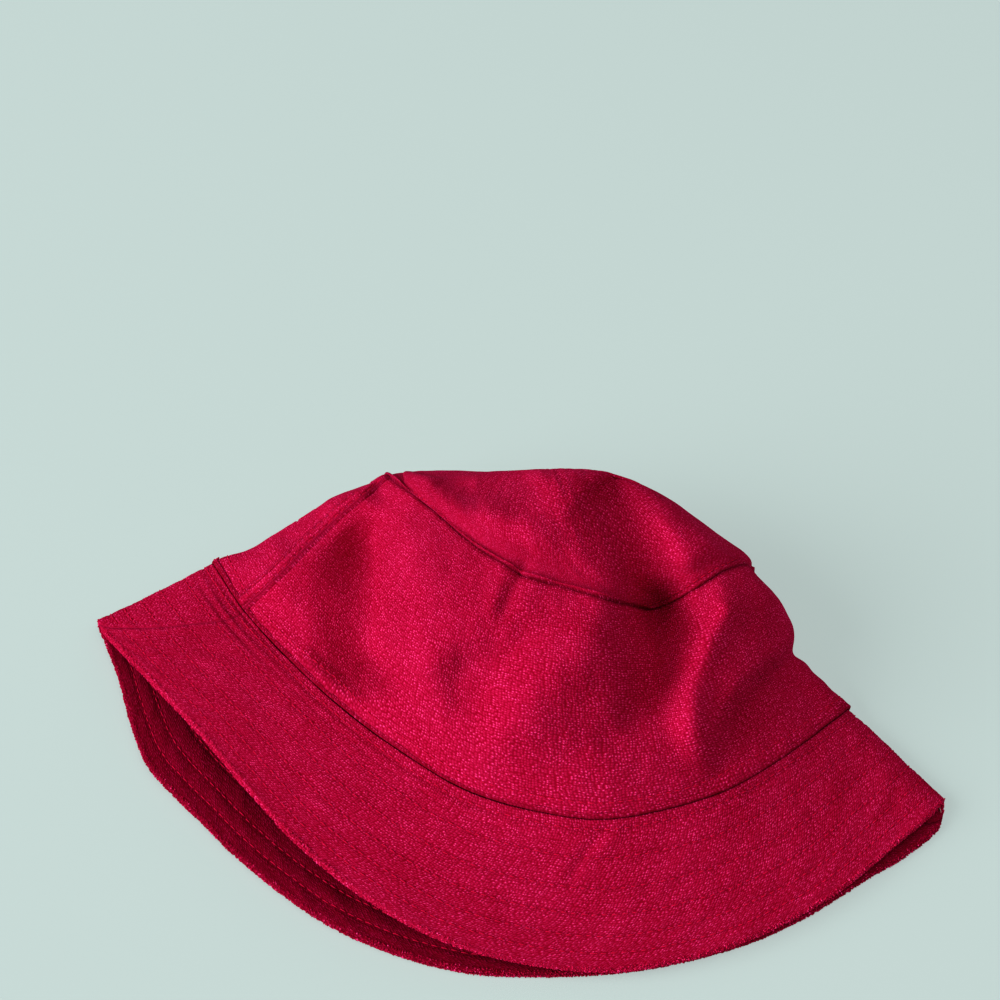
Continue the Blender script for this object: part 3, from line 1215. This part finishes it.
LOOSE_THREAD = [     # sighted
    (175.2, -122.4, 5.2), (176.4, -124.8, 4.6), (175.6, -128.8, 2.6), (172.8, -132.4, 0.9),
    (170, -132.8, 0.5), (169.6, -130.4, 1.2), (171.6, -129.2, 2.3), (173.6, -130.8, 1.6),
    (174, -134, 0.4)]
stand_in(tube("loose_thread_end", sighted(LOOSE_THREAD), 0.17, GREY_MAT),
         "loose_thread")


def seam_end_fray():
    """Frayed end of the crown seam standing up at the left fold."""
    col = int(round(crown_left[0] * COLS)) % COLS
    root = lip_points[2, col] + lip_normals[2, col] * 0.5
    rs = np.random.RandomState(77)
    right, up, ahead = [rs.uniform(low, high, 22)[:, None]
                        for low, high in ((-0.4, 2.3), (-0.9, 1.9), (-1.0, 0.8))]
    points = root + RIGHT * right + UP * up + AHEAD * ahead
    points[:, 2] = np.maximum(points[:, 2], 0.6)
    tube("seam_end_fray", points, 0.28, PILE_MAT, sides=5, per=6)


def edge_pile(name, seed, c0, c1, mat, count=4200):
    """Towelling loops, small closed beads standing out of the rounded brim edge."""
    rs = np.random.RandomState(seed)
    c = rs.uniform(c0, c1, count)
    tilt = rs.normal(0, 1.25, count).clip(-1.9, 1.9)      # 0 is straight out of the edge
    x = BRIM_W - EDGE_R * (1 - np.cos(tilt)) - np.abs(tilt) * 0.35
    r = row_of(x, brim_x)
    norms = unit(at(BRIM.normals, r, c))
    outward = unit(at(brim, np.full(count, n_brim - 1.0), c)
                   - at(brim, np.full(count, n_brim - 4.0), c))
    root = at(brim, r, c) + norms * (1.70 * np.sin(tilt))[:, None]
    stem = unit(norms * np.sin(tilt)[:, None] + outward * np.cos(tilt)[:, None]
                + 0.35 * rs.standard_normal((count, 3)))
    side = unit(np.cross(stem, rs.standard_normal((count, 3))))
    other = np.cross(stem, side)
    radius = rs.uniform(0.20, 0.34, count)[:, None]
    height = rs.uniform(0.30, 0.62, count)[:, None]
    bead = [root - stem * 0.25]
    for rise, girth in ((0.15, 0.95), (0.75, 0.8)):
        for turn in np.arange(5) / 5 * 2 * math.pi:
            bead.append(root + stem * height * rise
                        + radius * girth * (math.cos(turn) * side + math.sin(turn) * other))
    bead.append(root + stem * height)
    bead = np.stack(bead, 1)
    per_bead = bead.shape[1]
    tris = []
    for j in range(5):
        k = (j + 1) % 5
        tris += [(0, 1 + k, 1 + j), (1 + j, 1 + k, 6 + k), (1 + j, 6 + k, 6 + j),
                 (6 + j, 6 + k, 11)]
    faces = (np.arange(count)[:, None, None] * per_bead + np.array(tris)[None]).reshape(-1, 3)
    uv = np.repeat(np.stack([c * 0.0009, x * MM], -1), per_bead, 0)
    ob = mesh_piece(name, bead.reshape(-1, 3), faces, mat,
                    uv=uv)


seam_end_fray()
edge_pile("brim_front_edge_pile", 61, 2, HALF - 2, PILE_MAT)
edge_pile("brim_back_edge_pile", 62, HALF + 2, COLS - 2, OUTER_MAT)


# ------------------------------------------------------------------ floor, light, camera (m)
def link(name, data):
    ob = bpy.data.objects.new(name, data)
    bpy.context.scene.collection.objects.link(ob)
    return ob


def add_floor(half=3, z=-0.0002):
    me = bpy.data.meshes.new("floor")
    corners = [(-half, -half, z), (half, -half, z), (half, half, z), (-half, half, z)]
    me.from_pydata(corners, [], [(0, 1, 2, 3)])
    floor = link("floor", me)
    mat = bpy.data.materials.new("floor")
    mat.use_nodes = True
    feed(mat.node_tree, mat.node_tree.nodes["Principled BSDF"], {
        "Base Color": (0.175, 0.21, 0.203, 1),
        "Roughness": 1.0,
        "Specular IOR Level": 0.0,
        "Emission Color": (0.90, 1.04, 1.01, 1),
        "Emission Strength": 0.32})
    me.materials.append(mat)


def add_world(strength):
    world = bpy.data.worlds.new("w")
    world.use_nodes = True
    bpy.context.scene.world = world
    feed(world.node_tree, world.node_tree.nodes["Background"],
         {0: (1, 1, 1, 1), 1: strength})


def add_area(name, place_at, size, power):
    """Square light aimed just above the middle of the floor."""
    light = bpy.data.lights.new(name, "AREA")
    light.size = size
    light.energy = power
    ob = link(name, light)
    ob.location = place_at
    aim = Vector((0, 0, 0.03)) - Vector(place_at)
    ob.rotation_euler = aim.to_track_quat("-Z", "Y").to_euler()


def add_camera():
    data = bpy.data.cameras.new("cam")
    data.lens = 50.4
    data.sensor_width = 36
    data.clip_start = 0.01
    camera = link("cam", data)
    columns = (RIGHT, UP, -AHEAD, CAMERA * MM)
    camera.matrix_world = Matrix(
        [[float(column[i]) for column in columns] for i in range(3)] + [[0, 0, 0, 1]])
    bpy.context.scene.camera = camera


add_floor()
add_world(strength=0.19)
add_area("key", (-2.66, -1.73, 1.66), size=2.6, power=140)
add_area("top", (0.95, -0.30, 3.30), size=1.6, power=24)
add_area("fill", (2.66, 0.71, 2.35), size=2.4, power=10)
add_camera()
bpy.context.scene.view_settings.view_transform = "Standard"
bpy.context.scene.view_settings.look = "High Contrast"
